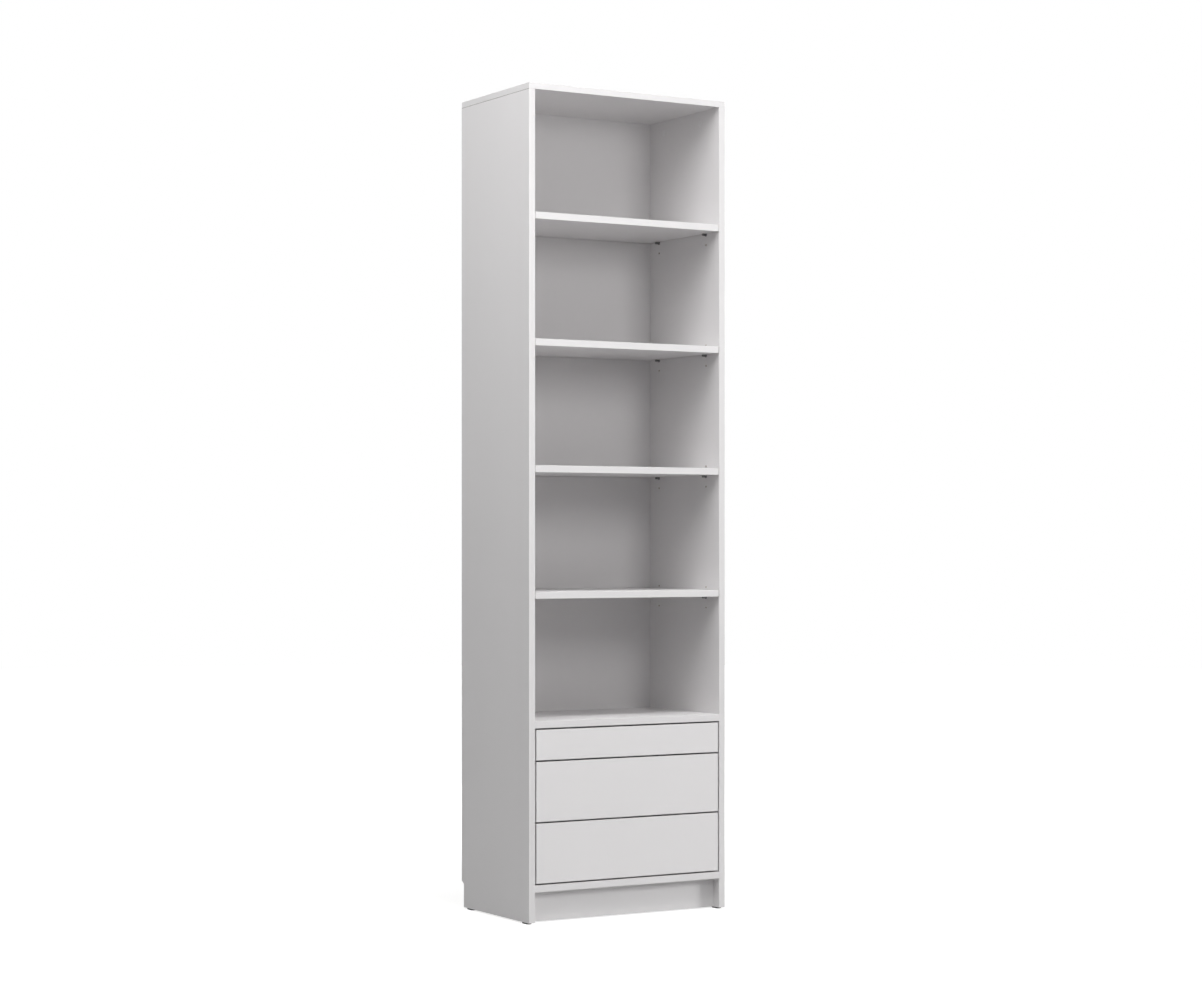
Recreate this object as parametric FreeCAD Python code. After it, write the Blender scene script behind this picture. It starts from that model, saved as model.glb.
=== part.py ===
import FreeCAD, Part

import os
from collections import namedtuple

from FreeCAD import Placement, Rotation, Vector

# A tall white bookcase: five open compartments over three flush drawers that open at a push.
# Millimetres, +Z up. The front faces -Y, and +X is on the right as seen from the front.
# Pieces are laid out with the front at y = 0. save() moves each one forward by half the depth,
# so that the origin is on the floor, at the middle of the footprint.

# ---- driving dimensions ----
WIDTH = 600.0
DEPTH = 370.0
HEIGHT = 2160.0
BOARD = 18.0              # sides, shelves, deck, bottom, plinth and drawer fronts
TOP_BOARD = 16.0          # the top lies on the sides
BACK_BOARD = 3.0          # hardboard, in grooves
BOX_BOARD = 12.0          # sides and back of a drawer box
ARRIS = 0.7               # softened edges of the boards

GLIDE_HEIGHT = 4.0
PLINTH_TOP = 82.0
PLINTH_SETBACK = 27.5
DECK_UNDERSIDE = 503.0
LOWEST_SHELF = 835.5      # underside of the lowest loose shelf
SHELF_PITCH = 325.5
SHELF_COUNT = 4
BACK_SETBACK = 350.0      # front of the bookcase to the front of the back board
DRAWER_GAP = 4.0
SHALLOW_FRONT = 78.5      # the top drawer; the two below share what is left

# ---- derived places ----
INNER = WIDTH / 2 - BOARD
SIDE_TOP = HEIGHT - TOP_BOARD
BOTTOM_TOP = PLINTH_TOP + BOARD
DEEP_FRONT = (DECK_UNDERSIDE - BOTTOM_TOP - 4 * DRAWER_GAP - SHALLOW_FRONT) / 2

# ---- skirting notch at the rear foot of each side ----
NOTCH_DEPTH = 12.0
NOTCH_FRONT_TOP = 66.0
NOTCH_REAR_TOP = 74.0

# ---- grooves for the back ----
GROOVE_DEPTH = 6.0
GROOVE_PLAY = 0.2
BACK_IN_GROOVE = 5.5

# ---- loose shelves and their pins ----
SHELF_SETBACK = 1.0
SHELF_REAR = 347.0
SHELF_END_PLAY = 1.2
PIN_DEPTHS = (65.0, 303.5)
PIN_STEP = 27.5           # a spare hole this far above and below each pin
PIN_HOLE_RADIUS = 2.5
PIN_HOLE_DEPTH = 10.0
PIN_RADIUS = 2.45
PIN_IN_BOARD = 8.5
PIN_COLLAR_RADIUS = 4.5
PIN_COLLAR = 1.0
PIN_PEG_RADIUS = 3.0
PIN_REACH = 12.0
PIN_CHAMFER = 0.6

# ---- glides ----
GLIDE_LENGTH = 32.0
GLIDE_WIDTH = 16.0
GLIDE_INSET = 1.0         # in from the outer face of the side
GLIDE_STARTS = (12.0, 314.0)
GLIDE_CORNER = 7.5        # the ends are nearly half round
PEG_RADIUS = 2.4
PEG_LENGTH = 8.0
PEG_PLAY = 0.1
PEG_INSET = 8.0

# ---- cams, bolts, dowels and screws ----
Cam = namedtuple("Cam", "radius depth axis reach")
CARCASS_CAM = Cam(radius=7.5, depth=12.5, axis=BOARD / 2, reach=33.0)
DRAWER_CAM = Cam(radius=6.0, depth=9.5, axis=BOX_BOARD / 2, reach=24.0)
CAM_PLAY = 0.1
CAM_SUNK = 0.3
CAM_CROSS = (4.0, 1.2, 1.6)       # arm, width and depth of the cross in a cam's face
PANEL_CAMS = (60.0, 290.0)        # distances from the front, as are the next three
PANEL_DOWELS = (110.0, 240.0)
TOP_CAMS = (93.0, 277.0)
TOP_DOWELS = (45.0, 325.0)
PLINTH_CAM = 43.0                 # heights
PLINTH_DOWELS = (19.0, 67.0)
HOLE_SPARE = 0.5                  # a blind hole is this much deeper than what goes into it
BOLT_THREAD_RADIUS = 2.5
BOLT_THREAD = 10.0
BOLT_SHANK_RADIUS = 3.2
BOLT_NECK_RADIUS = 1.8
BOLT_HEAD = (-2.0, 1.0)   # along the bolt, from the centre of the cam
BOLT_NECK_END = 4.0
BOLT_BORE_RADIUS = 3.6
Dowel = namedtuple("Dowel", "radius length deep")    # deep: the share of it in the far board
CARCASS_DOWEL = Dowel(4.0, 30.0, 19.5)
DRAWER_DOWEL = Dowel(3.0, 24.0, 15.0)
DOWEL_PLAY = 0.05
DOWEL_CHAMFER = 1.0
SCREW_RADIUS = 1.7
SCREW_HEAD_RADIUS = 3.2
SCREW_HEAD = 1.2          # as deep as the steel of the rails, so that the head lies flush
SCREW_TIP_RADIUS = 0.2
SINK_PLAY = 0.1
WELL_PLAY = 0.3           # around a screw's head, in the well that it is driven through
SCREW_LENGTH = {"carcass": 15.0, "drawer": 10.5}
SCREW_CROSS = (2.2, 0.7, 0.6)
CAP_RADIUS = 8.5
CAP_THICKNESS = 1.0
CAP_ROUND = 0.5
NAIL_RADIUS = 0.6
NAIL_LENGTH = 18.0
NAIL_HEAD_RADIUS = 1.6
NAIL_HEAD = 0.6
NAIL_PLACES = (-240.0, -80.0, 80.0, 240.0)

# ---- drawer boxes ----
BOX_LIFT = 14.0           # bottom of the front to the bottom of the box
SHALLOW_BOX = 56.0
DEEP_BOX = 118.0
BOX_LENGTH = 300.0
BASE_BOARD = 3.0
BASE_LIFT = 8.0
BASE_IN_GROOVE = 5.5
BASE_END_PLAY = 0.5       # the base ends this far in front of the back's rear face
BACK_DOWEL_DROP = 4.0     # the dowels of a box's back lie this far under its cams

# ---- ball-bearing slides, on the right: s runs from the side of the bookcase to the drawer box ----
SLIDE_SPACE = 12.7
SLIDE_FRONT = 22.0
SLIDE_LENGTH = 300.0
SLIDE_LIFT = 28.0         # bottom of the box to the middle of the slide
STEEL = 1.2
Channel = namedtuple("Channel", "web mouth half lip")
CABINET_RAIL = Channel(web=0.0, mouth=10.2, half=22.5, lip=2.5)
MIDDLE_RAIL = Channel(web=2.6, mouth=11.1, half=17.6, lip=2.4)
DRAWER_RAIL = Channel(web=12.7, mouth=5.6, half=12.5, lip=0.0)
RAIL_BEND = 0.9
Cage = namedtuple("Cage", "web mouth ball_height ball_radius start")
OUTER_CAGE = Cage(web=1.6, mouth=8.4, ball_height=19.45, ball_radius=1.5, start=170.0)
INNER_CAGE = Cage(web=4.3, mouth=9.4, ball_height=14.45, ball_radius=1.6, start=24.0)
CAGE_LENGTH = 150.0
CAGE_SHEET = 0.6
CAGE_BALLS = 5
BALL_PLAY = 0.1
CABINET_SCREWS = (57.0, 185.0, 281.0)
DRAWER_SCREWS = (50.0, 160.0, 300.0)
TAB_HALF = 8.0            # the bent tab at the rear of the drawer rail, which the pusher meets

# ---- push-open units behind the slides ----
PUSHER_FRONT = 326.0
PUSHER_REAR = 349.5
PUSHER_HALF = 13.5
PUSHER_THICKNESS = 12.2
PUSHER_CORNER = 1.5
PUSHER_SCREW = (342.5, -8.6)      # distance from the front, and height from the slide's middle
PLUNGER_RADIUS = 3.5
PLUNGER_TIP = 325.6
PLUNGER_LENGTH = 21.0
PLUNGER_WALL = 1.5
PLUNGER_ROUND = 0.8
PLUNGER_HOLLOW = 2.6
BORE_RADIUS = 3.9
BORE_DEPTH = 22.5
SPRING_RADIUS = 2.0
SPRING_WIRE = 0.3
SPRING_SPAN = (328.5, 347.8)
SPRING_PITCH = 1.6

Drawer = namedtuple("Drawer", "name bottom front box cams dowels")
SIDES = {"left": -1, "right": 1}
X, Y, Z = Vector(1, 0, 0), Vector(0, 1, 0), Vector(0, 0, 1)

boards = {}
cutters = {}
fasteners = {}


# ---- basic shapes ----
def box(x, y, z):
    """A block between two values on each axis, given in either order."""
    low = Vector(min(x), min(y), min(z))
    return Part.makeBox(abs(x[1] - x[0]), abs(y[1] - y[0]), abs(z[1] - z[0]), low)


def rod(radius, start, along, length):
    return Part.makeCylinder(radius, length, start, along)


def lies_on(edge, axis, value):
    """Whether both ends of an edge have this value on this axis."""
    return all(abs(getattr(v.Point, axis) - value) < 1e-6 for v in edge.Vertexes)


def soften(shape, radius, *planes):
    """Round every edge that lies in one of the planes, each given as (axis, value)."""
    edges = [e for e in shape.Edges if any(lies_on(e, *plane) for plane in planes)]
    return shape.makeFillet(radius, edges)


def soften_front(shape, front):
    """Round the two long edges of a board's front."""
    edges = [e for e in shape.Edges if lies_on(e, "y", front) and not lies_on(e, "x", e.BoundBox.XMin)]
    return shape.makeFillet(ARRIS, edges)


def drill(board, *tools):
    """Keep shapes to be cut out of a board when it is saved."""
    cutters.setdefault(board, []).extend(tools)


def add(node, *solids):
    """Add loose solids to a node that holds a group of them."""
    fasteners.setdefault(node, []).extend(solids)


def save(node, *solids):
    """Write one node, with the origin moved to the middle of the footprint."""
    shape = solids[0] if len(solids) == 1 else Part.makeCompound(list(solids))
    moved = shape.copy()
    moved.translate(Vector(0, -DEPTH / 2, 0))
    moved.exportStep(f"parts/{node}.step")


def side_board(side):
    return f"{side}_side_panel"


# ---- fasteners ----
def turned(shape, origin, out, along):
    """Place a shape whose own +Z is to point along out, and whose own +X along along."""
    placed = shape.copy()
    placed.Placement = Placement(origin, Rotation(along, out.cross(along), out, "ZXY"))
    return placed


def cross_recess(arm, width, depth):
    """The cross for a driver, sunk below z = 0 and reaching above it."""
    bar = box((-arm, arm), (-width / 2, width / 2), (-depth, depth))
    return bar.fuse(box((-width / 2, width / 2), (-arm, arm), (-depth, depth)))


def cam_lock(cam):
    """A cam with its face just under z = 0, open towards +X for the head of the bolt."""
    radius = cam.radius - CAM_PLAY
    disc = rod(radius, Vector(0, 0, -cam.depth + CAM_SUNK), Z, cam.depth - 2 * CAM_SUNK)
    pocket = rod(BOLT_BORE_RADIUS, Vector(BOLT_HEAD[0] - HOLE_SPARE, 0, -cam.axis), X, 3 * radius)
    cross = cross_recess(*CAM_CROSS)
    cross.translate(Vector(0, 0, -CAM_SUNK))
    return disc.cut([pocket, cross])


def cam_bolt(cam):
    """The bolt of a cam, along X in the cam's own frame: head, neck, shank and thread."""
    steps = (
        (BOLT_SHANK_RADIUS, BOLT_HEAD[0], BOLT_HEAD[1]),
        (BOLT_NECK_RADIUS, BOLT_HEAD[1], BOLT_NECK_END),
        (BOLT_SHANK_RADIUS, BOLT_NECK_END, cam.reach),
        (BOLT_THREAD_RADIUS, cam.reach, cam.reach + BOLT_THREAD),
    )
    rods = [rod(r, Vector(start, 0, -cam.axis), X, end - start) for r, start, end in steps]
    return rods[0].fuse(rods[1:]).removeSplitter()


def cam_joint(cam, seat, into, face, bolt_board, cam_board, lock_node, bolt_node):
    """Draw cam_board against bolt_board.

    seat is where the bolt crosses the joint, into runs along it into cam_board, and face points
    from the bolt to the face that the cam is let into.
    """
    centre = seat + into * cam.reach + face * cam.axis
    drill(bolt_board, rod(BOLT_THREAD_RADIUS, seat, -into, BOLT_THREAD + HOLE_SPARE))
    drill(cam_board, rod(BOLT_BORE_RADIUS, seat, into, cam.reach))
    drill(cam_board, rod(cam.radius, centre, -face, cam.depth))
    add(lock_node, turned(cam_lock(cam), centre, face, -into))
    add(bolt_node, turned(cam_bolt(cam), centre, face, -into))


def dowel_joint(dowel, seat, into, near_board, far_board, node):
    """A dowel across a joint at seat, where into points from near_board into far_board."""
    near = dowel.length - dowel.deep
    pin = rod(dowel.radius, seat - into * near, into, dowel.length)
    rims = [e for e in pin.Edges if len(e.Vertexes) == 1]
    add(node, pin.makeChamfer(DOWEL_CHAMFER, rims))
    radius = dowel.radius + DOWEL_PLAY
    drill(near_board, rod(radius, seat, -into, near + HOLE_SPARE))
    drill(far_board, rod(radius, seat, into, dowel.deep + HOLE_SPARE))


def screw(kind):
    """A countersunk screw with its head's face at z = 0, pointing down -Z."""
    head = Part.makeCone(SCREW_RADIUS, SCREW_HEAD_RADIUS, SCREW_HEAD, Vector(0, 0, -SCREW_HEAD), Z)
    length = SCREW_LENGTH[kind] - SCREW_HEAD
    tip = 2 * SCREW_RADIUS
    shank = rod(SCREW_RADIUS, Vector(0, 0, -SCREW_HEAD - length + tip), Z, length - tip)
    point = Part.makeCone(SCREW_TIP_RADIUS, SCREW_RADIUS, tip, Vector(0, 0, -SCREW_HEAD - length), Z)
    return head.fuse([shank, point]).cut(cross_recess(*SCREW_CROSS)).removeSplitter()


def fix_screw(kind, seat, out, board, node):
    """A screw whose head is flush at seat; its pilot hole goes into the board behind the steel."""
    add(node, turned(screw(kind), seat, out, Y))
    drill(board, rod(SCREW_RADIUS, seat - out * SCREW_HEAD, -out, SCREW_LENGTH[kind] - SCREW_HEAD))


def countersink(seat, out):
    """The hole that a screw's head and shank need in the steel or plastic under its head."""
    bottom = seat - out * SCREW_HEAD
    return Part.makeCone(SCREW_RADIUS + SINK_PLAY, SCREW_HEAD_RADIUS + SINK_PLAY, SCREW_HEAD, bottom, out)


# ---- carcass ----
def side_panel(side):
    """A side with its skirting notch, and the groove for the back on its inner face."""
    s = SIDES[side]
    rear = DEPTH - NOTCH_DEPTH
    outline = [
        (0, GLIDE_HEIGHT), (rear, GLIDE_HEIGHT), (rear, NOTCH_FRONT_TOP),
        (DEPTH, NOTCH_REAR_TOP), (DEPTH, SIDE_TOP), (0, SIDE_TOP),
    ]
    points = [Vector(s * INNER, y, z) for y, z in outline]
    face = Part.Face(Part.makePolygon(points + points[:1]))
    panel = face.extrude(X * s * BOARD)
    edges = [
        e for e in panel.Edges
        if lies_on(e, "y", 0) or (lies_on(e, "x", s * WIDTH / 2) and lies_on(e, "z", SIDE_TOP))
    ]
    boards[side_board(side)] = panel.makeFillet(ARRIS, edges)
    drill(side_board(side), back_groove((s * INNER, s * (INNER + GROOVE_DEPTH)), (0, SIDE_TOP)))
    for underside in shelf_undersides():
        for y in PIN_DEPTHS:
            for step in (-PIN_STEP, 0, PIN_STEP):
                place = Vector(s * INNER, y, underside - PIN_PEG_RADIUS + step)
                drill(side_board(side), rod(PIN_HOLE_RADIUS, place, X * s, PIN_HOLE_DEPTH))


def back_groove(x, z):
    return box(x, (BACK_SETBACK - GROOVE_PLAY, BACK_SETBACK + BACK_BOARD + GROOVE_PLAY), z)


def shelf_undersides():
    return [LOWEST_SHELF + SHELF_PITCH * n for n in range(SHELF_COUNT)]


def fixed_panel(node, underside):
    """A board between the sides, held at each end by two cams in its underside and two dowels.

    The back is nailed to its rear edge.
    """
    panel = box((-INNER, INNER), (0, BACK_SETBACK), (underside, underside + BOARD))
    boards[node] = soften_front(panel, 0)
    for x in NAIL_PLACES:
        seat = Vector(x, BACK_SETBACK + BACK_BOARD, underside + BOARD / 2)
        shank = rod(NAIL_RADIUS, seat, -Y, NAIL_LENGTH)
        add("back_nails", rod(NAIL_HEAD_RADIUS, seat, Y, NAIL_HEAD).fuse(shank))
        drill(node, shank)
        drill("back_panel", shank)
    for side, s in SIDES.items():
        for y in PANEL_CAMS:
            seat = Vector(s * INNER, y, underside + BOARD / 2)
            cam_joint(CARCASS_CAM, seat, -X * s, -Z, side_board(side), node, "cam_locks", "cam_bolts")
        for y in PANEL_DOWELS:
            seat = Vector(s * INNER, y, underside + BOARD / 2)
            dowel_joint(CARCASS_DOWEL, seat, -X * s, side_board(side), node, "dowels")


def top_panel():
    """The top lies on the sides, held by dowels and by cams let into their inner faces, under caps."""
    panel = box((-WIDTH / 2, WIDTH / 2), (0, DEPTH), (SIDE_TOP, HEIGHT))
    boards["top_panel"] = panel.makeFillet(ARRIS, panel.Edges)
    groove_half = INNER + GROOVE_DEPTH
    drill("top_panel", back_groove((-groove_half, groove_half), (SIDE_TOP, SIDE_TOP + GROOVE_DEPTH)))
    for side, s in SIDES.items():
        middle = s * (INNER + BOARD / 2)
        for y in TOP_CAMS:
            seat = Vector(middle, y, SIDE_TOP)
            cam_joint(CARCASS_CAM, seat, -Z, -X * s, "top_panel", side_board(side), "cam_locks", "cam_bolts")
            cap = rod(CAP_RADIUS, Vector(s * INNER, y, SIDE_TOP - CARCASS_CAM.reach), -X * s, CAP_THICKNESS)
            add("cam_caps", soften(cap, CAP_ROUND, ("x", s * (INNER - CAP_THICKNESS))))
        for y in TOP_DOWELS:
            seat = Vector(middle, y, SIDE_TOP)
            dowel_joint(CARCASS_DOWEL, seat, -Z, "top_panel", side_board(side), "dowels")


def plinth_board():
    """The plinth is set back under the bottom, with one cam and two dowels at each end."""
    rear = PLINTH_SETBACK + BOARD
    panel = box((-INNER, INNER), (PLINTH_SETBACK, rear), (GLIDE_HEIGHT, PLINTH_TOP))
    boards["plinth_board"] = soften_front(panel, PLINTH_SETBACK)
    middle = PLINTH_SETBACK + BOARD / 2
    for side, s in SIDES.items():
        seat = Vector(s * INNER, middle, PLINTH_CAM)
        cam_joint(CARCASS_CAM, seat, -X * s, Y, side_board(side), "plinth_board", "cam_locks", "cam_bolts")
        for z in PLINTH_DOWELS:
            seat = Vector(s * INNER, middle, z)
            dowel_joint(CARCASS_DOWEL, seat, -X * s, side_board(side), "plinth_board", "dowels")


def back_panel():
    """One sheet of hardboard in the grooves, from the underside of the bottom into the top."""
    half = INNER + BACK_IN_GROOVE
    y = (BACK_SETBACK, BACK_SETBACK + BACK_BOARD)
    boards["back_panel"] = box((-half, half), y, (PLINTH_TOP, SIDE_TOP + BACK_IN_GROOVE))


def shelves():
    """Four loose shelves, numbered from the top, each on four pins."""
    half = INNER - SHELF_END_PLAY
    for number, underside in enumerate(reversed(shelf_undersides()), 1):
        panel = box((-half, half), (SHELF_SETBACK, SHELF_REAR), (underside, underside + BOARD))
        boards[f"shelf_{number}"] = soften_front(panel, SHELF_SETBACK)
        for s in SIDES.values():
            for y in PIN_DEPTHS:
                add("shelf_pins", shelf_pin(s, y, underside - PIN_PEG_RADIUS))


def shelf_pin(s, y, z):
    """A steel pin: a stem in the side, a collar against it, and the peg that the shelf lies on."""
    face = Vector(s * INNER, y, z)
    stem = rod(PIN_RADIUS, face, X * s, PIN_IN_BOARD)
    collar = rod(PIN_COLLAR_RADIUS, face, -X * s, PIN_COLLAR)
    peg = rod(PIN_PEG_RADIUS, face, -X * s, PIN_REACH)
    end = s * (INNER - PIN_REACH)
    peg = peg.makeChamfer(PIN_CHAMFER, [e for e in peg.Edges if lies_on(e, "x", end)])
    return stem.fuse([collar, peg]).removeSplitter()


def glides():
    """A black glide near the front and the rear of each side, pegged into its lower edge."""
    for side, s in SIDES.items():
        outer = WIDTH / 2 - GLIDE_INSET
        x = (s * outer, s * (outer - GLIDE_WIDTH))
        for start in GLIDE_STARTS:
            end = start + GLIDE_LENGTH
            pad = box(x, (start, end), (0, GLIDE_HEIGHT))
            upright = [e for e in pad.Edges if abs(e.BoundBox.ZLength - GLIDE_HEIGHT) < 1e-6]
            pad = pad.makeFillet(GLIDE_CORNER, upright)
            pad = pad.makeFillet(ARRIS, [e for e in pad.Edges if lies_on(e, "z", 0)])
            for y in (start + PEG_INSET, end - PEG_INSET):
                foot = Vector(sum(x) / 2, y, GLIDE_HEIGHT)
                pad = pad.fuse(rod(PEG_RADIUS, foot, Z, PEG_LENGTH))
                drill(side_board(side), rod(PEG_RADIUS + PEG_PLAY, foot, Z, PEG_LENGTH + HOLE_SPARE))
            add("glides", pad.removeSplitter())


# ---- drawers ----
def drawers():
    """The three drawers from the top down."""
    bottom = BOTTOM_TOP + DRAWER_GAP
    middle = bottom + DEEP_FRONT + DRAWER_GAP
    top = middle + DEEP_FRONT + DRAWER_GAP
    return (
        Drawer("top", top, SHALLOW_FRONT, SHALLOW_BOX, (40.0,), (18.0,)),
        Drawer("middle", middle, DEEP_FRONT, DEEP_BOX, (30.0, 95.0), (62.0,)),
        Drawer("bottom", bottom, DEEP_FRONT, DEEP_BOX, (30.0, 95.0), (62.0,)),
    )


def drawer_box(drawer):
    """Front, sides, back and base of one drawer, with the cams and dowels that hold them."""
    name = f"{drawer.name}_drawer"
    low = drawer.bottom + BOX_LIFT
    high = low + drawer.box
    outer = INNER - SLIDE_SPACE
    inner = outer - BOX_BOARD
    rear = BOARD + BOX_LENGTH
    base = (low + BASE_LIFT, low + BASE_LIFT + BASE_BOARD)
    groove = (base[0] - GROOVE_PLAY, base[1] + GROOVE_PLAY)
    front_half = INNER - DRAWER_GAP
    front = box((-front_half, front_half), (0, BOARD), (drawer.bottom, drawer.bottom + drawer.front))
    boards[f"{name}_front"] = soften(front, ARRIS, ("y", 0))
    groove_half = inner + GROOVE_DEPTH
    drill(f"{name}_front", box((-groove_half, groove_half), (BOARD - GROOVE_DEPTH, BOARD), groove))
    back = box((-inner, inner), (rear - BOX_BOARD, rear), (groove[1], high))
    boards[f"{name}_back"] = back
    base_half = inner + BASE_IN_GROOVE
    base_y = (BOARD - BASE_IN_GROOVE, rear - BASE_END_PLAY)
    boards[f"{name}_base"] = box((-base_half, base_half), base_y, base)
    for side, s in SIDES.items():
        board = f"{name}_{side}_side"
        panel = box((s * inner, s * outer), (BOARD, rear), (low, high))
        long_top = [e for e in panel.Edges if lies_on(e, "z", high) and e.Length > BOX_BOARD + 1]
        boards[board] = panel.makeFillet(ARRIS, long_top)
        drill(board, box((s * inner, s * groove_half), (BOARD, rear), groove))
        middle = s * (inner + BOX_BOARD / 2)
        for z in drawer.cams:
            seat = Vector(middle, BOARD, low + z)
            fittings = f"{name}_cams"
            cam_joint(DRAWER_CAM, seat, Y, -X * s, f"{name}_front", board, fittings, fittings)
            seat = Vector(s * inner, rear - BOX_BOARD / 2, low + z - BACK_DOWEL_DROP)
            dowel_joint(DRAWER_DOWEL, seat, -X * s, board, f"{name}_back", f"{name}_dowels")
        for z in drawer.dowels:
            seat = Vector(middle, BOARD, low + z)
            dowel_joint(DRAWER_DOWEL, seat, Y, f"{name}_front", board, f"{name}_dowels")


def channel(rail, s, z):
    """One member of a slide: a steel channel with its web at s = web and its lips at s = mouth."""
    away = 1 if rail.mouth > rail.web else -1
    y = (SLIDE_FRONT, SLIDE_FRONT + SLIDE_LENGTH)
    at = lambda across: s * (INNER - across)
    inside = rail.half - STEEL
    block = box((at(rail.web), at(rail.mouth)), y, (z - rail.half, z + rail.half))
    bends = [
        e for e in block.Edges
        if lies_on(e, "x", at(rail.web)) and abs(e.Length - SLIDE_LENGTH) < 1e-6
    ]
    block = block.makeFillet(RAIL_BEND, bends)
    lip_inside = rail.mouth - away * STEEL if rail.lip else rail.mouth + away
    hollow = box((at(rail.web + away * STEEL), at(lip_inside)), y, (z - inside, z + inside))
    opening = inside - rail.lip
    slot = box((at(rail.web + away * STEEL), at(rail.mouth + away)), y, (z - opening, z + opening))
    return block.cut([hollow, slot])


def ball_cage(cage, s, z):
    """A bent strip that keeps an upper and a lower row of balls apart, and the balls."""
    at = lambda across: s * (INNER - across)
    y = (cage.start, cage.start + CAGE_LENGTH)
    top = cage.ball_height + CAGE_SHEET / 2
    strip = box((at(cage.web), at(cage.mouth)), y, (z - top, z + top))
    within = top - CAGE_SHEET
    hollow = box((at(cage.web + CAGE_SHEET), at(cage.mouth + 1)), y, (z - within, z + within))
    middle = (cage.web + CAGE_SHEET + cage.mouth) / 2
    step = CAGE_LENGTH / CAGE_BALLS
    balls, holes = [], []
    for n in range(CAGE_BALLS):
        place = Vector(at(middle), cage.start + step * (n + 0.5), z)
        for way in (-1, 1):
            balls.append(Part.makeSphere(cage.ball_radius, place + Z * way * cage.ball_height))
        reach = top + 1
        holes.append(rod(cage.ball_radius + BALL_PLAY, place - Z * reach, Z, 2 * reach))
    return [strip.cut([hollow] + holes)] + balls


def slides(drawer):
    """Both ball-bearing slides of a drawer, with their screws."""
    z = drawer.bottom + BOX_LIFT + SLIDE_LIFT
    for side, s in SIDES.items():
        cabinet = channel(CABINET_RAIL, s, z)
        sinks = []
        for y in CABINET_SCREWS:
            seat = Vector(s * (INNER - STEEL), y, z)
            fix_screw("carcass", seat, -X * s, side_board(side), "cabinet_screws")
            sinks.append(countersink(seat, -X * s))
        add("cabinet_rails", cabinet.cut(sinks))
        add(f"{drawer.name}_middle_rails", channel(MIDDLE_RAIL, s, z))
        for cage in (OUTER_CAGE, INNER_CAGE):
            add(f"{drawer.name}_ball_cages", *ball_cage(cage, s, z))
        add(f"{drawer.name}_drawer_rails", drawer_rail(drawer, side, s, z))


def drawer_rail(drawer, side, s, z):
    """The member on the drawer box, with a tab bent across its rear end for the pusher."""
    end = SLIDE_FRONT + SLIDE_LENGTH
    tab_x = (s * (INNER - DRAWER_RAIL.mouth), s * (INNER - DRAWER_RAIL.web + STEEL))
    tab = box(tab_x, (end - STEEL, end), (z - TAB_HALF, z + TAB_HALF))
    sinks = []
    for y in DRAWER_SCREWS:
        seat = Vector(s * (INNER - DRAWER_RAIL.web + STEEL), y, z)
        board = f"{drawer.name}_drawer_{side}_side"
        fix_screw("drawer", seat, X * s, board, f"{drawer.name}_rail_screws")
        sinks.append(countersink(seat, X * s))
    return channel(DRAWER_RAIL, s, z).cut(sinks).fuse(tab).removeSplitter()


# ---- push-open units ----
def push_unit(drawer, side):
    """A sprung plunger in a housing behind each slide, which throws the drawer open."""
    s = SIDES[side]
    z = drawer.bottom + BOX_LIFT + SLIDE_LIFT
    x = (s * INNER, s * (INNER - PUSHER_THICKNESS))
    housing = box(x, (PUSHER_FRONT, PUSHER_REAR), (z - PUSHER_HALF, z + PUSHER_HALF))
    housing = soften(housing, PUSHER_CORNER, ("x", x[1]))
    axis = Vector(sum(x) / 2, PUSHER_FRONT, z)
    screw_y, screw_z = PUSHER_SCREW
    seat = Vector(s * (INNER - SCREW_HEAD), screw_y, z + screw_z)
    well = rod(SCREW_HEAD_RADIUS + WELL_PLAY, seat, -X * s, PUSHER_THICKNESS)
    bore = rod(BORE_RADIUS, axis, Y, BORE_DEPTH)
    add("push_housings", housing.cut([bore, well, countersink(seat, -X * s)]))
    fix_screw("carcass", seat, -X * s, side_board(side), "cabinet_screws")
    tip = Vector(axis.x, PLUNGER_TIP, z)
    stem = rod(PLUNGER_RADIUS, tip, Y, PLUNGER_LENGTH)
    stem = stem.makeFillet(PLUNGER_ROUND, [e for e in stem.Edges if lies_on(e, "y", PLUNGER_TIP)])
    hollow = rod(PLUNGER_HOLLOW, tip + Y * PLUNGER_WALL, Y, PLUNGER_LENGTH)
    add(f"{drawer.name}_push_plungers", stem.cut(hollow))
    add("push_springs", spring(Vector(axis.x, SPRING_SPAN[0], z)))


def spring(start):
    """A coil spring along +Y from start."""
    helix = Part.makeHelix(SPRING_PITCH, SPRING_SPAN[1] - SPRING_SPAN[0], SPRING_RADIUS)
    ring = Part.Wire(Part.makeCircle(SPRING_WIRE, Vector(SPRING_RADIUS, 0, 0), Y))
    coil = Part.Wire(helix).makePipeShell([ring], True, True)
    coil.Placement = Placement(start, Rotation(Z, Y))
    return coil


# ---- the whole bookcase ----
def build():
    os.makedirs("parts", exist_ok=True)
    for side in SIDES:
        side_panel(side)
    top_panel()
    fixed_panel("deck_panel", DECK_UNDERSIDE)
    fixed_panel("bottom_panel", PLINTH_TOP)
    plinth_board()
    back_panel()
    shelves()
    glides()
    for drawer in drawers():
        drawer_box(drawer)
        slides(drawer)
        for side in SIDES:
            push_unit(drawer, side)
    for node, board in boards.items():
        save(node, board.cut(cutters[node]) if node in cutters else board)
    for node, solids in fasteners.items():
        save(node, *solids)


build()
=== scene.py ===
import math
from functools import cached_property

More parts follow.
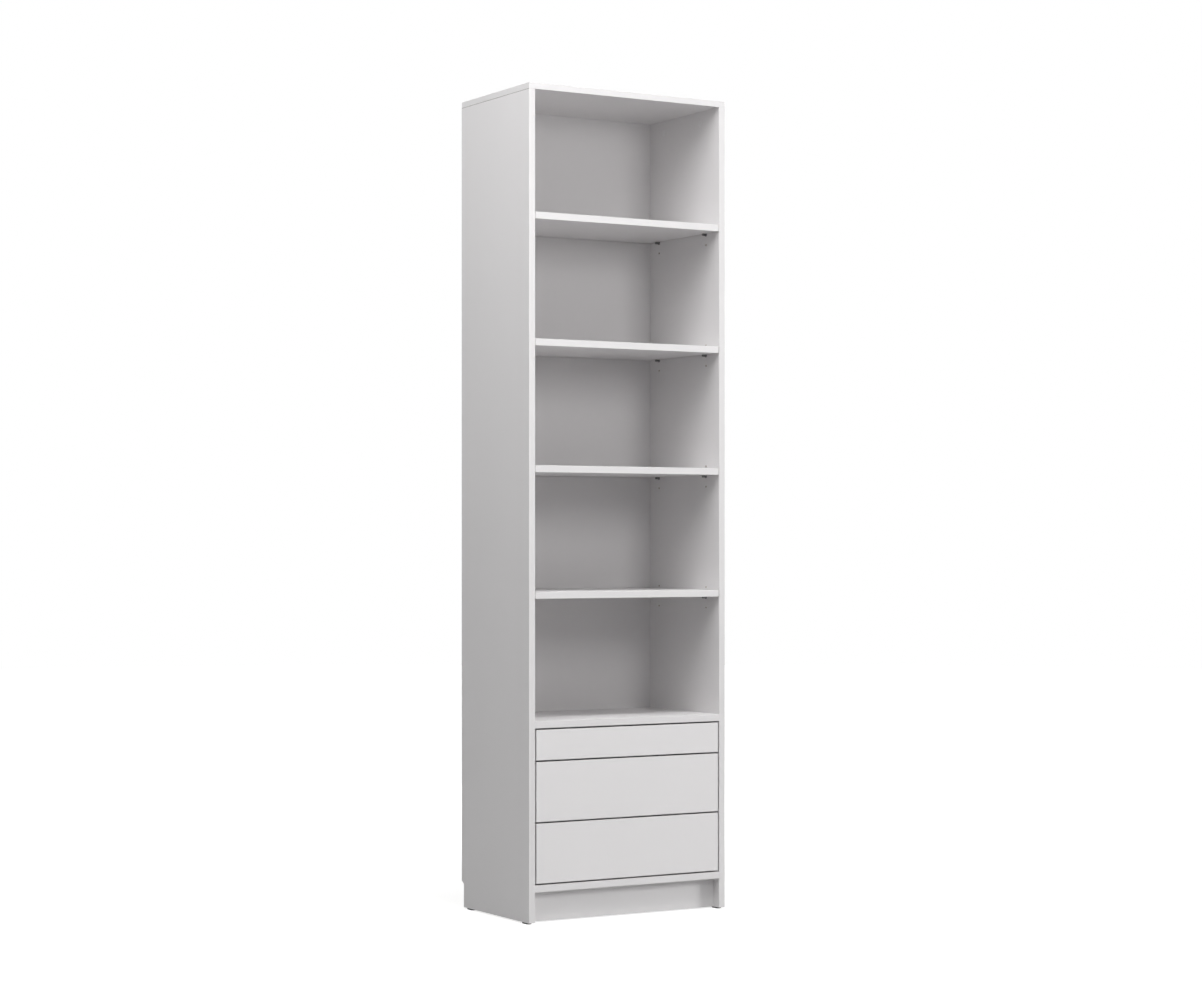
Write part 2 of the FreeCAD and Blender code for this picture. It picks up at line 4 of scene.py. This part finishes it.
import bpy
import numpy as np
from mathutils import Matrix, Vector


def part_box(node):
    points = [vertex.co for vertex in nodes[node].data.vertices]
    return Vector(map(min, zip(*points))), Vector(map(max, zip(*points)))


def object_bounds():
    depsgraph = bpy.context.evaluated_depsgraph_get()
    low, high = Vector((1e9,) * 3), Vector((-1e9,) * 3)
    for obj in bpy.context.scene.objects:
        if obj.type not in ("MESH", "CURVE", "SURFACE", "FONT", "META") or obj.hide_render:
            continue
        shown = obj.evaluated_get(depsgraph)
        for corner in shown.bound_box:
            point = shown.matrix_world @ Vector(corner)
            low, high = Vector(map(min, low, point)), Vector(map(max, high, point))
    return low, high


# A tall white bookcase: open compartments over three flush drawers.
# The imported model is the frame, and every visible piece is one of its nodes. This script gives each
# node its finish, and adds the camera, the floor and the lights. Lengths are metres in the frame:
# the front faces -Y, +Z is up.

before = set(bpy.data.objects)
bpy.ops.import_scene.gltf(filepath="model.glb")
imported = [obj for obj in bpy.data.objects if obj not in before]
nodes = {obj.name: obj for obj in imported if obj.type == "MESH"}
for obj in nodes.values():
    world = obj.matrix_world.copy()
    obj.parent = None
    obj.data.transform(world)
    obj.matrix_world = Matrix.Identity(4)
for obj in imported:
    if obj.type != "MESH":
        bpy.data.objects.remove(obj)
cad_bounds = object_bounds()

# ---- camera ----
IMAGE_WIDTH = 1202.0             # pixels, as are the next two
FOCAL_LENGTH = 2655.5
HORIZON_DROP = 40.6              # the horizon lies this far below the middle of the image
SENSOR = 36.0                    # millimetres
CAMERA_PLACE = (-3.6149, -6.1275, 0.9853)
CAMERA_YAW = math.radians(30.707)

# ---- light ----
LAMPS = {
    # name: place, what it points at, size, power in watts
    "left": ((-2.75, -1.6, 3.1), (0.0, 0.0, 1.4), 3.0, 36.0),
    "key": ((-3.9, -2.3, 3.5), (0.0, 0.0, 1.4), 1.2, 21.0),
    "high_left": ((-1.8, -1.8, 4.7), (0.0, 0.0, 1.4), 3.0, 43.0),
    "near_left": ((-1.7, -0.6, 3.0), (0.0, 0.0, 1.9), 1.0, 14.0),
    "front": ((0.55, -3.15, 2.2), (0.0, 0.0, 1.4), 1.0, 24.0),
    "high_front": ((0.0, -5.1, 11.9), (0.0, 0.0, 1.4), 2.5, 575.0),
    "right": ((10.2, -5.9, 3.1), (0.0, 0.0, 1.2), 2.5, 715.0),
    "back": ((0.6, 3.6, 1.1), (0.0, 0.0, 1.1), 1.4, 55.0),
}
WORLD_LIGHT = 0.03               # what the surround gives as a light; the eye sees it white
FLOOR_LIGHT = 0.78               # the floor's own white near the bookcase, which shadows don't reach
FLOOR_COLOUR = (0.4, 0.4, 0.4)
FLOOR_RADIUS = 14.0
FLOOR_RINGS = 6
FLOOR_SPOKES = 64
SHADOW_REACH = (0.8, 2.4)        # the shadow on the floor fades out between these distances

# ---- noise ----
# Every scale below counts features of a noise or a cellular pattern in a metre, every detail counts
# its finer layers, and every depth is that of its relief.
NOISE_MIDDLE = (0.3, 0.7)        # most of a noise's values lie between these
EVEN_SHARE = 0.5                 # of each of two patterns that count alike

# ---- white board: melamine-faced chipboard with glued edging ----
WHITE = (0.724, 0.711, 0.7145)
EDGING_WHITE = (0.704, 0.692, 0.695)
EDGING = 0.001                   # thickness of the edging
GLUE_LINE = 0.00012              # width of the fine line where the edging meets the face
GLUE_COLOUR = (0.42, 0.40, 0.38)
FACE_SKIN = 0.0002               # depth of the melamine over the chipboard
SEAM_SHADOW_HALF_WIDTH = 0.0005                    # half the width of the painted shadow line where the top lies on the sides
# painted shadow: a near-black colour for the shade in the joint gap between the top and the sides
SEAM_SHADOW_COLOUR = (0.09, 0.088, 0.085)
CHIP_DARK = (0.22, 0.16, 0.11)
CHIP_LIGHT = (0.45, 0.35, 0.25)
CHIP_SCALE = 420.0
CHIP_STRETCH = (1.0, 0.45, 1.0)  # chips lie along the depth of the bookcase
CHIP_RELIEF = 8.0                # against the pearl of the faces
CRUMB_SCALE = 1400.0
CRUMB_DETAIL = 3.0
CHIP_ROUGH = 0.85
CLOUD_SCALE = 2.6
CLOUD_DETAIL = 3.0
CLOUD = (0.985, 1.0)             # how bright the clouds leave the white
SPECK_SCALE = 620.0
SPECK = 0.006                    # how much the specks add or take
GLUE_STRENGTH = 0.35
SATIN_SCALE = 9.0
SATIN_DETAIL = 3.0
SATIN = (0.40, 0.46)             # roughness of the faces
EDGING_SHINE = 0.08              # how much smoother the edging is
PEARL_SCALE = 1500.0
PEARL_DEPTH = 0.000012

# ---- hardboard: the back and the drawer bases ----
LACQUER = (0.709, 0.696, 0.70)
LACQUER_THIN = (0.694, 0.68, 0.684)
LACQUER_SCALE = 3.0
LACQUER_ROUGH = (0.52, 0.58)
LACQUER_GRAIN_SCALE = 900.0
LACQUER_DEPTH = 0.00002
FIBRE_DARK = (0.17, 0.10, 0.055)
FIBRE_LIGHT = (0.27, 0.165, 0.09)
FIBRE_SCALE = 520.0
FIBRE_DETAIL = 4.0
FIBRE_SHARE = 0.7                # of its shade, beside the blotches
FIBRE_ROUGHER = 0.22             # how much rougher the bare face is than the lacquer
FIBRE_RELIEF = 3.0               # against the grain of the lacquer
BLOTCH_SCALE = 14.0
BLOTCH_DETAIL = 3.0

# ---- plated steel ----
ZINC_DARK = (0.50, 0.505, 0.515)
ZINC_LIGHT = (0.66, 0.665, 0.67)
# painted shade: the shelf pins are a darker copy of the plated steel, standing in for the shade and
# dark reflections under the shelves
PIN_SHADED_DARK = (0.18, 0.18, 0.182)
PIN_SHADED_LIGHT = (0.27, 0.27, 0.272)
DRAWN_SCALE = 900.0
DRAWN_STRETCH = (1.0, 0.02, 1.0)
SPANGLE_SCALE = 260.0
STEEL_ROUGH = (0.28, 0.40)
STEEL_DEPTH = 0.00001

# ---- plastic ----
GREY = ((0.145, 0.15, 0.155), (0.165, 0.17, 0.175))
BLACK = ((0.010, 0.010, 0.010), (0.016, 0.016, 0.016))
CAP_WHITE = ((0.735, 0.725, 0.729), (0.76, 0.75, 0.754))
GREY_ROUGH = 0.45
BLACK_ROUGH = 0.5
CAP_ROUGH = 0.4
ROUGH_SWING = 0.05
PATCH_SCALE = 60.0
GRAIN_SCALE = 1100.0
GRAIN_DEPTH = 0.00003

# ---- beech ----
BEECH_DARK = (0.48, 0.31, 0.17)
BEECH_LIGHT = (0.66, 0.47, 0.29)
BEECH_SCALE = 300.0
BEECH_DETAIL = 4.0
BEECH_STRETCH = (0.2, 1.0, 1.0)
BEECH_ROUGH = 0.6
BEECH_DEPTH = 0.00003
FLECK = (0.30, 0.18, 0.10)
FLECK_SCALE = 700.0
FLECK_CELLS = (0.8, 0.95)        # cells above these values are flecks
FLECK_STRENGTH = 0.4

DRAWERS = ("top", "middle", "bottom")
STEEL_ENDINGS = (
    "_rails", "_screws", "_cams", "_cages", "_springs", "_locks", "_bolts", "_nails",
)


# ---- material graphs ----
MIX_COLOUR_INPUTS = (0, 6, 7)    # the share and the two colours, among the sockets of a Mix node
MIX_COLOUR_OUTPUT = 2


class Graph:
    """The nodes of a material or world, added call by call. An input takes a value or an output."""

    def __init__(self, owner):
        self.owner = owner
        owner.use_nodes = True
        self.tree = owner.node_tree
        self.tree.nodes.clear()

    @cached_property
    def place(self):
        return self.node("ShaderNodeTexCoord", {}).outputs["Object"]

    @cached_property
    def axes(self):
        return dict(zip("xyz", self.node("ShaderNodeSeparateXYZ", {0: self.place}).outputs))

    def node(self, kind, inputs, **settings):
        made = self.tree.nodes.new(kind)
        for key, value in settings.items():
            setattr(made, key, value)
        for key, value in inputs.items():
            self.feed(made.inputs[key], value)
        return made

    def feed(self, socket, value):
        if isinstance(value, bpy.types.NodeSocket):
            self.tree.links.new(value, socket)
        elif socket.type == "RGBA":
            socket.default_value = (*value, 1.0)
        else:
            socket.default_value = value

    def math(self, operation, *values):
        return self.node("ShaderNodeMath", dict(enumerate(values)), operation=operation).outputs[0]

    def highest(self, values):
        top = values[0]
        for value in values[1:]:
            top = self.math("MAXIMUM", top, value)
        return top

    def mix(self, share, first, second):
        """A colour between two colours."""
        made = self.node("ShaderNodeMix", {}, data_type="RGBA")
        for index, value in zip(MIX_COLOUR_INPUTS, (share, first, second)):
            self.feed(made.inputs[index], value)
        return made.outputs[MIX_COLOUR_OUTPUT]

    def dim(self, colour, factor):
        inputs = {0: colour, "Scale": factor}
        return self.node("ShaderNodeVectorMath", inputs, operation="SCALE").outputs[0]

    def blend(self, first, second, share):
        """A share of the first pattern, and the rest from the second."""
        return self.math("MULTIPLY_ADD", first, share, self.math("MULTIPLY", second, 1.0 - share))

    def remap(self, value, low, high, to_low=0.0, to_high=1.0):
        inputs = {0: value, 1: low, 2: high, 3: to_low, 4: to_high}
        return self.node("ShaderNodeMapRange", inputs).outputs[0]

    def spread(self, value, low, high):
        """The middle of a noise's range, spread from low to high."""
        return self.remap(value, *NOISE_MIDDLE, low, high)

    def between(self, axis, low, high):
        """1 where a coordinate lies between two values, else 0."""
        above = self.math("GREATER_THAN", self.axes[axis], low)
        below = self.math("LESS_THAN", self.axes[axis], high)
        return self.math("MULTIPLY", above, below)

    def stretched(self, *scale):
        """The place scaled along X, Y and Z."""
        return self.node("ShaderNodeMapping", {"Vector": self.place, "Scale": scale}).outputs[0]

    def noise(self, scale, detail=2.0, vector=None):
        inputs = {"Vector": vector or self.place, "Scale": scale, "Detail": detail}
        return self.node("ShaderNodeTexNoise", inputs).outputs["Fac"]

    def cells(self, scale, vector=None):
        """A random value for each cell of a cellular pattern."""
        colour = self.node("ShaderNodeTexVoronoi", {"Vector": vector or self.place, "Scale": scale})
        return self.node("ShaderNodeSeparateColor", {0: colour.outputs["Color"]}).outputs[0]

    def bump(self, height, distance):
        return self.node("ShaderNodeBump", {"Height": height, "Distance": distance}).outputs[0]

    def surface(self, colour, roughness, normal, metallic=0.0):
        inputs = {"Base Color": colour, "Roughness": roughness, "Normal": normal, "Metallic": metallic}
        return self.output(self.node("ShaderNodeBsdfPrincipled", inputs))

    def output(self, shader, kind="Material"):
        self.node(f"ShaderNodeOutput{kind}", {"Surface": shader.outputs[0]})
        return self.owner


def new_material(name):
    return Graph(bpy.data.materials.new(name))


# ---- finishes ----
def white_board(node, axis, edged, seam=None):
    """White board whose faces are square to axis.

    edged lists the edges that carry edging, each as an axis and "low" or "high". What lies between
    the faces and has no edging, such as a sawn edge or the wall of a bore, is bare chipboard. seam is
    the end of Z at which the board meets another one flush on the outer faces of the bookcase; there a
    near-black line of painted shadow stands for the shade in the joint gap.
    """
    g = new_material(node)
    corners = dict(zip(("low", "high"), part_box(node)))
    bands, glue = [], []
    for edge_axis, end in edged:
        value = corners[end]["xyz".index(edge_axis)]
        inner = value + EDGING if end == "low" else value - EDGING
        outer = 2 * value - inner
        bands.append(g.between(edge_axis, min(inner, outer), max(inner, outer)))
        glue.append(g.between(edge_axis, inner - GLUE_LINE / 2, inner + GLUE_LINE / 2))
    edging = g.highest(bands)
    low, high = (corners[end]["xyz".index(axis)] for end in ("low", "high"))
    core = g.math("SUBTRACT", g.between(axis, low + FACE_SKIN, high - FACE_SKIN), edging)

    cloud = g.spread(g.noise(CLOUD_SCALE, CLOUD_DETAIL), *CLOUD)
    speck = g.spread(g.noise(SPECK_SCALE), -SPECK, SPECK)
    white = g.dim(g.mix(edging, WHITE, EDGING_WHITE), g.math("ADD", cloud, speck))
    white = g.mix(g.math("MULTIPLY", g.highest(glue), GLUE_STRENGTH), white, GLUE_COLOUR)
    # Painted shadow: a near-black line along the flush joint stands for the shade in the gap between
    # the boards.
    if seam:
        height = corners[seam][2]
        outer = g.math("GREATER_THAN", g.math("ABSOLUTE", g.axes["x"]), cad_bounds[1][0] - SEAM_SHADOW_HALF_WIDTH)
        line = g.math("MULTIPLY", g.between("z", height - SEAM_SHADOW_HALF_WIDTH, height + SEAM_SHADOW_HALF_WIDTH), outer)
        white = g.mix(line, white, SEAM_SHADOW_COLOUR)
    chips = g.cells(CHIP_SCALE, g.stretched(*CHIP_STRETCH))
    shade = g.blend(g.noise(CRUMB_SCALE, CRUMB_DETAIL), chips, EVEN_SHARE)
    colour = g.mix(core, white, g.mix(shade, CHIP_DARK, CHIP_LIGHT))

    satin = g.spread(g.noise(SATIN_SCALE, SATIN_DETAIL), *SATIN)
    satin = g.math("SUBTRACT", satin, g.math("MULTIPLY", edging, EDGING_SHINE))
    rough = g.math("MAXIMUM", satin, g.math("MULTIPLY", core, CHIP_ROUGH))
    pearl = g.noise(PEARL_SCALE, 1.0)
    height = g.math("MULTIPLY_ADD", core, g.math("MULTIPLY", chips, CHIP_RELIEF), pearl)
    return g.surface(colour, rough, g.bump(height, PEARL_DEPTH))


def hardboard(node, axis, white_end):
    """Thin hardboard, lacquered white on one face and bare brown fibre elsewhere."""
    g = new_material(node)
    low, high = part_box(node)
    index = "xyz".index(axis)
    if white_end == "low":
        bare = g.math("GREATER_THAN", g.axes[axis], low[index] + FACE_SKIN)
    else:
        bare = g.math("LESS_THAN", g.axes[axis], high[index] - FACE_SKIN)
    fibres = g.noise(FIBRE_SCALE, FIBRE_DETAIL)
    blotches = g.noise(BLOTCH_SCALE, BLOTCH_DETAIL)
    shade = g.blend(fibres, blotches, FIBRE_SHARE)
    lacquer = g.mix(g.spread(g.noise(LACQUER_SCALE), 0.0, 1.0), LACQUER_THIN, LACQUER)
    colour = g.mix(bare, lacquer, g.mix(shade, FIBRE_DARK, FIBRE_LIGHT))
    rough = g.math("MULTIPLY_ADD", bare, FIBRE_ROUGHER, g.spread(blotches, *LACQUER_ROUGH))
    grain = g.noise(LACQUER_GRAIN_SCALE, 1.0)
    height = g.math("MULTIPLY_ADD", g.math("MULTIPLY", bare, fibres), FIBRE_RELIEF, grain)
    return g.surface(colour, rough, g.bump(height, LACQUER_DEPTH))


def plated_steel(name, dark, light):
    """Plated steel, drawn along the depth of the bookcase, with a faint spangle."""
    g = new_material(name)
    drawn = g.noise(DRAWN_SCALE, vector=g.stretched(*DRAWN_STRETCH))
    colour = g.mix(g.blend(drawn, g.cells(SPANGLE_SCALE), EVEN_SHARE), dark, light)
    return g.surface(colour, g.spread(drawn, *STEEL_ROUGH), g.bump(drawn, STEEL_DEPTH), metallic=1.0)


def plastic(name, colours, rough):
    """Moulded plastic with a fine eroded grain."""
    g = new_material(name)
    grain = g.noise(GRAIN_SCALE)
    colour = g.mix(g.spread(g.noise(PATCH_SCALE), 0.0, 1.0), *colours)
    roughness = g.spread(grain, rough - ROUGH_SWING, rough + ROUGH_SWING)
    return g.surface(colour, roughness, g.bump(grain, GRAIN_DEPTH))


def beech():
    """Bare beech dowels, with fine flecks along the grain."""
    g = new_material("beech")
    grain = g.noise(BEECH_SCALE, BEECH_DETAIL, g.stretched(*BEECH_STRETCH))
    fleck = g.math("MULTIPLY", g.remap(g.cells(FLECK_SCALE), *FLECK_CELLS), FLECK_STRENGTH)
    colour = g.mix(fleck, g.mix(grain, BEECH_DARK, BEECH_LIGHT), FLECK)
    return g.surface(colour, BEECH_ROUGH, g.bump(grain, BEECH_DEPTH))


# ---- dressing the nodes ----
def dress(node, material):
    slots = nodes[node].data.materials
    slots.clear()
    slots.append(material)


def dress_carcass():
    front_only = [("y", "low")]
    for node in ("left_side_panel", "right_side_panel"):
        dress(node, white_board(node, "x", [("y", "low"), ("y", "high")], seam="high"))
    around = [("x", "low"), ("x", "high"), ("y", "low"), ("y", "high")]
    dress("top_panel", white_board("top_panel", "z", around, seam="low"))
    shelves = [node for node in nodes if node.startswith("shelf_") and node != "shelf_pins"]
    for node in ["deck_panel", "bottom_panel"] + shelves:
        dress(node, white_board(node, "z", front_only))
    dress("plinth_board", white_board("plinth_board", "y", [("z", "low")]))
    dress("back_panel", hardboard("back_panel", "y", "low"))


def dress_drawers():
    around = [("x", "low"), ("x", "high"), ("z", "low"), ("z", "high")]
    wrapped = [("z", "low"), ("z", "high")]
    for drawer in DRAWERS:
        front = f"{drawer}_drawer_front"
        dress(front, white_board(front, "y", around))
        for part, axis in (("left_side", "x"), ("right_side", "x"), ("back", "y")):
            node = f"{drawer}_drawer_{part}"
            dress(node, white_board(node, axis, wrapped))
        base = f"{drawer}_drawer_base"
        dress(base, hardboard(base, "z", "high"))


def dress_fittings():
    steel = plated_steel("zinc_steel", ZINC_DARK, ZINC_LIGHT)
    wood = beech()
    grey = plastic("grey_plastic", GREY, GREY_ROUGH)
    # painted shade: the pins take the darker copy of the plated steel, for the shade under the shelves
    dress("shelf_pins", plated_steel("pin_steel_painted_shade", PIN_SHADED_DARK, PIN_SHADED_LIGHT))
    dress("glides", plastic("black_plastic", BLACK, BLACK_ROUGH))
    dress("cam_caps", plastic("white_plastic", CAP_WHITE, CAP_ROUGH))
    for node in nodes:
        if node.endswith("dowels"):
            dress(node, wood)
        elif node == "push_housings" or node.endswith("push_plungers"):
            dress(node, grey)
        elif node.endswith(STEEL_ENDINGS):
            dress(node, steel)


# ---- camera, surround, floor and lamps ----
def add_camera():
    data = bpy.data.cameras.new("camera")
    data.sensor_width = SENSOR
    data.lens = FOCAL_LENGTH / IMAGE_WIDTH * SENSOR
    data.shift_y = HORIZON_DROP / IMAGE_WIDTH
    camera = bpy.data.objects.new("camera", data)
    camera.location = CAMERA_PLACE
    camera.rotation_euler = (math.pi / 2, 0.0, -CAMERA_YAW)
    bpy.context.scene.collection.objects.link(camera)
    bpy.context.scene.camera = camera


def looked_at(g):
    """1 for what the eye sees, also in metal and glass, and 0 for light that surfaces scatter."""
    path = g.node("ShaderNodeLightPath", {})
    rays = ("Is Camera Ray", "Is Glossy Ray", "Is Transmission Ray")
    return g.highest([path.outputs[ray] for ray in rays])


def add_world():
    """A surround that is white to the eye and a weak light."""
    g = Graph(bpy.data.worlds.new("surround"))
    strength = g.remap(looked_at(g), 0.0, 1.0, WORLD_LIGHT, 1.0)
    background = g.node("ShaderNodeBackground", {"Color": (1.0, 1.0, 1.0), "Strength": strength})
    bpy.context.scene.world = g.output(background, "World")


def disc_mesh(name, radius, rings, spokes):
    """A flat disc. Point (i, j) lies at radius * i / rings, turned by 2 * pi * j / spokes."""
    out = radius * np.arange(1, rings + 1) / rings
    turn = 2 * math.pi * np.arange(spokes) / spokes
    x, y = np.outer(out, np.cos(turn)).ravel(), np.outer(out, np.sin(turn)).ravel()
    points = np.vstack([np.zeros(3), np.column_stack([x, y, np.zeros(x.size)])])
    here = np.arange(spokes)
    after = (here + 1) % spokes
    fan = np.column_stack([np.zeros(spokes, int), here + 1, after + 1])
    ring = np.arange(rings - 1)[:, None] * spokes + 1
    quads = np.stack([ring + here, ring + spokes + here, ring + spokes + after, ring + after], axis=-1)
    mesh = bpy.data.meshes.new(name)
    mesh.from_pydata(points.tolist(), [], fan.tolist() + quads.reshape(-1, 4).tolist())
    return mesh


def floor_finish():
    """Pale to the lamps. The eye sees it white, apart from the soft shadow near the bookcase."""
    g = new_material("floor")
    radius = g.node("ShaderNodeVectorMath", {0: g.place}, operation="LENGTH").outputs["Value"]
    white = g.remap(radius, *SHADOW_REACH, FLOOR_LIGHT, 1.0)
    strength = g.math("MULTIPLY", looked_at(g), white)
    glow = g.node("ShaderNodeEmission", {"Color": (1.0, 1.0, 1.0), "Strength": strength})
    lit = g.node("ShaderNodeBsdfDiffuse", {"Color": FLOOR_COLOUR})
    return g.output(g.node("ShaderNodeAddShader", {0: lit.outputs[0], 1: glow.outputs[0]}))


def add_floor():
    mesh = disc_mesh("floor", FLOOR_RADIUS, FLOOR_RINGS, FLOOR_SPOKES)
    floor = bpy.data.objects.new("floor", mesh)
    bpy.context.scene.collection.objects.link(floor)
    floor.data.materials.append(floor_finish())


def add_lamps():
    for name, (place, target, size, power) in LAMPS.items():
        data = bpy.data.lights.new(name, "AREA")
        data.size = size
        data.energy = power
        lamp = bpy.data.objects.new(name, data)
        lamp.location = place
        lamp.rotation_euler = (Vector(target) - Vector(place)).to_track_quat("-Z", "Y").to_euler()
        bpy.context.scene.collection.objects.link(lamp)


add_camera()
add_world()
add_floor()
add_lamps()
dress_carcass()
dress_drawers()
dress_fittings()
bpy.context.scene.view_settings.view_transform = "Standard"
